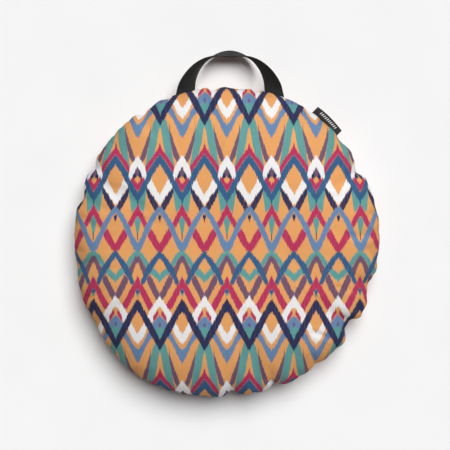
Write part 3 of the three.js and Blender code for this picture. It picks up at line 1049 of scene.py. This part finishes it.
def tube_faces(rings, around):
    """The faces of a closed tube whose points go ring by ring."""
    faces = []
    for k in range(rings - 1):
        for j in range(around):
            a, b = k * around + j, k * around + (j + 1) % around
            faces.append([a, b, b + around, a + around])
    last = (rings - 1) * around
    faces.append(list(range(around))[::-1])
    faces.append([last + j for j in range(around)])
    return faces


def band(name, stations, section):
    """Sweeps a section along stations, closes both ends, and stores where each point lies on the tape."""
    points, places = [], []
    run = 0.0
    for k, (place, _, across, outward) in enumerate(stations):
        if k:
            run += (place - stations[k - 1][0]).length
        for w, t in section:
            points.append(place + across * w + outward * t)
            places.append((w, run, t))
    made = mesh_object(name, points, tube_faces(len(stations), len(section)))
    store(made.data, "tape", places)
    shape = bmesh.new()
    shape.from_mesh(made.data)
    bmesh.ops.recalc_face_normals(shape, faces=shape.faces)
    shape.to_mesh(made.data)
    shape.free()
    return made


def make_handle():
    stations = strap_stations()
    section = band_section(STRAP_W, STRAP_T, STRAP_CELLS)
    strap = band("handle_webbing", stations, section)
    set_positions(strap.data, spread_tails(positions(strap.data), stations, len(section)))
    smooth(strap)
    give(strap, webbing_material())
    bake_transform(strap)
    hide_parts("handle_strap", "handle_tail_left", "handle_tail_right")


# ------ label

LABEL_LENGTH = 57 * MM
LABEL_W = 13 * MM
LABEL_TAIL = 14 * MM
LABEL_T = 1 * MM
LABEL_BOW = 2 * MM  # how much its outer edge curves with the rim
LABEL_DROOP = 1.4 * MM
LABEL_WAVE = 0.9 * MM
LABEL_STEPS = 26
LABEL_CELLS = 24


def make_label():
    """A folded tape: its fold is the outer edge, and its two ends are in the seam."""
    stations = []
    for k in range(LABEL_STEPS + 1):
        out = -LABEL_TAIL + (LABEL_TAIL + LABEL_W) * k / LABEL_STEPS
        droop = -LABEL_DROOP * (max(0, out) / LABEL_W) ** 2
        place = LABEL_HINGE + LABEL_OUT * out + Vector((0, 0, droop))
        stations.append((place, LABEL_OUT, LABEL_ALONG, LABEL_OUT.cross(LABEL_ALONG)))
    label = band("woven_label", stations, band_section(LABEL_LENGTH, LABEL_T, LABEL_CELLS))
    points = positions(label.data)
    from_hinge = points - np.array(LABEL_HINGE)
    along = from_hinge @ np.array(LABEL_ALONG)
    out = from_hinge @ np.array(LABEL_OUT)
    outer = np.clip(out / LABEL_W, 0, 1)
    points[:, 2] += LABEL_WAVE * np.sin(along / LABEL_LENGTH * 5 + 0.6) * outer
    bow = LABEL_BOW * (0.5 - (2 * along / LABEL_LENGTH) ** 2) * outer
    points[:, :2] += bow[:, None] * np.array(LABEL_OUT)[:2]
    set_positions(label.data, points)
    store(label.data, "tape", np.column_stack([along, out, points[:, 2]]))
    smooth(label)
    give(label, label_material())
    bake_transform(label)
    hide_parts("label_flap", "label_tail")


# ------ zip

COIL_PITCH = 1.5 * MM
COIL_WIRE = 0.32 * MM  # the nylon line's radius


def make_coil(name, node, side):
    """One of the zip's coils: a flattened spiral of nylon line."""
    low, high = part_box(node)
    middle = (low + high) / 2
    half_w = (high.y - low.y) / 2 - COIL_WIRE
    half_h = (high.z - low.z) / 2 - COIL_WIRE
    turns = int((high.x - low.x - 2 * COIL_WIRE) / COIL_PITCH)
    per_turn, around = 12, 6
    points = []
    for k in range(turns * per_turn + 1):
        angle = 2 * math.pi * k / per_turn
        place = Vector((
            low.x + COIL_WIRE + COIL_PITCH * k / per_turn,
            middle.y + side * half_w * math.cos(angle),
            middle.z + half_h * math.sin(angle),
        ))
        radial = Vector((0, side * math.cos(angle), math.sin(angle)))
        for j in range(around):
            turn = 2 * math.pi * j / around
            along = Vector((COIL_WIRE * math.sin(turn), 0, 0))
            points.append(place + radial * COIL_WIRE * math.cos(turn) + along)
    coil = mesh_object(name, points, tube_faces(turns * per_turn + 1, around))
    smooth(coil)
    return coil


def make_zip():
    nylon = plastic_material()
    nickel = metal_material()
    tape = cloth_material("zip_tape_weave", linear(52, 56, 66), linear(36, 40, 50), 0.6 * MM)
    for side_name, side in (("rear", 1), ("front", -1)):
        coil = make_coil(f"coil_{side_name}", f"zip_coil_{side_name}", side)
        give(coil, nylon)
        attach(coil, "cover")
        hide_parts(f"zip_coil_{side_name}")
        give(frame["nodes"][f"zip_tape_{side_name}"], tape)
        give(frame["nodes"][f"zip_top_stop_{side_name}"], nickel)
    for name in ("zip_bottom_stop", "zip_slider", "zip_pull"):
        give(frame["nodes"][name], nickel)


# ------ setting

VIEW_WIDTH = 0.760  # what the picture takes in from side to side, at the height of the seam
CAMERA_LENS = 85
SENSOR = 36
VIEW_CENTRE_Y = 0.030
KEY_FROM = (0.9, 1.95, 3.7)
KEY_STRENGTH = 3.4
KEY_WIDTH = 42  # degrees across, as seen from the cushion
WALL_LIGHT = 0.84
CEILING_LIGHT = 0.04
WALL_TOP = 0.14  # the height, from 0 level to 1 straight up, at which the walls' light starts to fall
CEILING_EDGE = 0.38  # and at which it has reached the ceiling's
FLOOR_HALF = 12.0


def make_camera():
    data = bpy.data.cameras.new("camera")
    data.lens = CAMERA_LENS
    data.sensor_width = SENSOR
    camera = add_object("camera", data)
    camera.location = (0, VIEW_CENTRE_Y, SEAM_Z + VIEW_WIDTH * CAMERA_LENS / SENSOR)
    bpy.context.scene.camera = camera


def make_key_light():
    """One wide, distant soft light from above, a little towards the handle."""
    data = bpy.data.lights.new("key", "SUN")
    data.energy = KEY_STRENGTH
    data.angle = math.radians(KEY_WIDTH)
    light = add_object("key", data)
    light.rotation_euler = Vector(KEY_FROM).to_track_quat("Z", "Y").to_euler()
    light.location = KEY_FROM


def make_floor():
    corners = [(x * FLOOR_HALF, y * FLOOR_HALF, 0) for x, y in ((-1, -1), (1, -1), (1, 1), (-1, 1))]
    floor = mesh_object("floor", corners, [[0, 1, 2, 3]])
    nodes = Nodes("pale_floor")
    mottle = nodes.noise(nodes.place(), (8, 8, 8), 3.0)
    colour = nodes.mix(mottle, linear(240, 240, 240), linear(245, 245, 245))
    give(floor, nodes.surface(Base_Color=colour, Roughness=0.9, Specular_IOR_Level=0.1))


def make_room_light():
    """A soft room: pale walls all round, a dimmer ceiling."""
    world = bpy.data.worlds.new("soft_room")
    world.use_nodes = True
    tree = world.node_tree
    direction = tree.nodes.new("ShaderNodeTexCoord").outputs["Generated"]
    split = tree.nodes.new("ShaderNodeSeparateXYZ")
    tree.links.new(direction, split.inputs[0])
    fall = tree.nodes.new("ShaderNodeMapRange")
    fall.interpolation_type = "SMOOTHSTEP"
    ends = {"From Min": WALL_TOP, "From Max": CEILING_EDGE, "To Min": WALL_LIGHT, "To Max": CEILING_LIGHT}
    for name, value in ends.items():
        fall.inputs[name].default_value = value
    tree.links.new(split.outputs[2], fall.inputs["Value"])
    background = tree.nodes["Background"]
    background.inputs["Color"].default_value = (1, 1, 1, 1)
    tree.links.new(fall.outputs[0], background.inputs["Strength"])
    bpy.context.scene.world = world


def make_setting():
    make_camera()
    make_key_light()
    make_room_light()
    make_floor()
    bpy.context.scene.view_settings.view_transform = "Standard"


# ------ the whole

make_setting()
skin, plain, shaped, outward = make_skin()
coordinates = cloth_coordinates(skin, plain, shaped)
make_top(skin, shaped, coordinates)
make_bottom(skin, shaped, underside(coordinates))
make_inside(skin, shaped, outward)
make_handle()
make_label()
make_zip()
